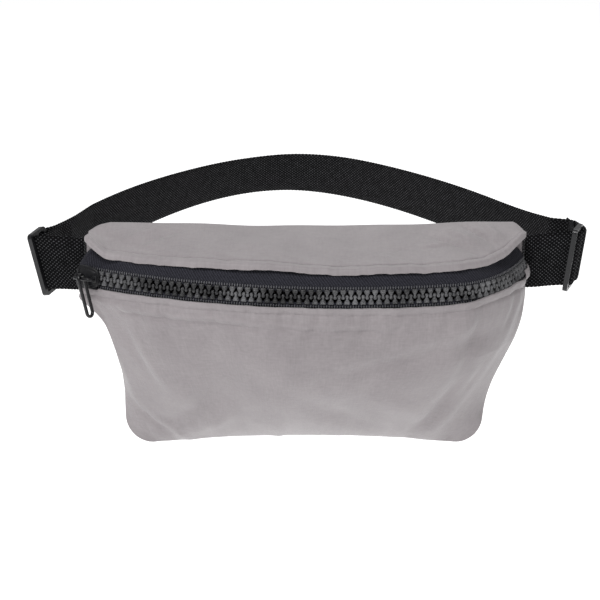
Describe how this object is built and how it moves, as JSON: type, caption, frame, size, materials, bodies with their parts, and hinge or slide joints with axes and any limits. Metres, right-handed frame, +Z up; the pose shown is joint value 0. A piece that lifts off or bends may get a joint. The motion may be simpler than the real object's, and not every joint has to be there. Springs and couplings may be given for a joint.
{
  "type": "waist pack",
  "caption": "Soft waist pack with a zipped pouch, a chunky moulded zip, a hanging ring pull and a webbing belt held by two tri-glide fittings.",
  "frame": {"origin": "middle of the back panel's outer face, 50 mm above the pouch's lowest corners", "axes": "+X along the bag to the viewer's right, +Y out of the back panel towards the wearer, +Z up"},
  "size_m": [0.3073, 0.2596, 0.1274],
  "materials": {
    "cloth": "satin woven, warm grey",
    "tape": "woven zip tape",
    "teeth": "moulded, satin",
    "slider": "semi-gloss coating",
    "gloss": "gloss",
    "fitting": "moulded, satin",
    "webbing": "coarse woven",
    "thread": "stitched thread"
  },
  "bodies": {
    "bag": {"front_panel": "cloth", "back_panel": "cloth", "seam_binding": "tape", "zip_tape_lower": "tape", "zip_teeth_lower": "teeth", "zip_top_stop_lower": "teeth", "zip_end_cover": "cloth", "left_tab": "webbing", "right_tab": "webbing", "belt_webbing": "webbing", "left_belt_bartack": "thread", "right_belt_bartack": "thread"},
    "lid": {"top_panel": "cloth", "zip_tape_upper": "tape", "zip_teeth_upper": "teeth", "zip_top_stop_upper": "teeth"},
    "slider": {"slider_body": "slider", "slider_bail": "slider"},
    "pull": {"pull_ring": "gloss"},
    "left_glide": {"left_tri_glide": "fitting"},
    "right_glide": {"right_tri_glide": "fitting"}
  },
  "joints": [
    {"name": "slider_travel", "type": "hinge", "parent": "bag", "child": "slider", "pos_m": [0.022, 0.2405, 0.0577], "axis": [0, 0, 1], "range_deg": [0, 36]},
    {"name": "lid_swing", "type": "hinge", "parent": "bag", "child": "lid", "pos_m": [0, 0, 0.05], "axis": [-1, 0, 0], "range_deg": [0, 50]},
    {"name": "pull_swing", "type": "hinge", "parent": "slider", "child": "pull", "pos_m": [-0.11894, -0.03533, 0.05942], "axis": [-0.8905, 0.455, 0], "range_deg": [0, 140]},
    {"name": "left_glide_swivel", "type": "hinge", "parent": "bag", "child": "left_glide", "pos_m": [-0.144, 0, 0.057], "axis": [-0.2079, 0, 0.9781], "range_deg": [-4, 4]},
    {"name": "right_glide_swivel", "type": "hinge", "parent": "bag", "child": "right_glide", "pos_m": [0.1476, 0, 0.0592], "axis": [0.1219, 0, 0.9925], "range_deg": [-4, 4]}
  ],
  "couplings": [
    {"joint": "lid_swing", "follows": "slider_travel", "ratio": 1.38}
  ]
}
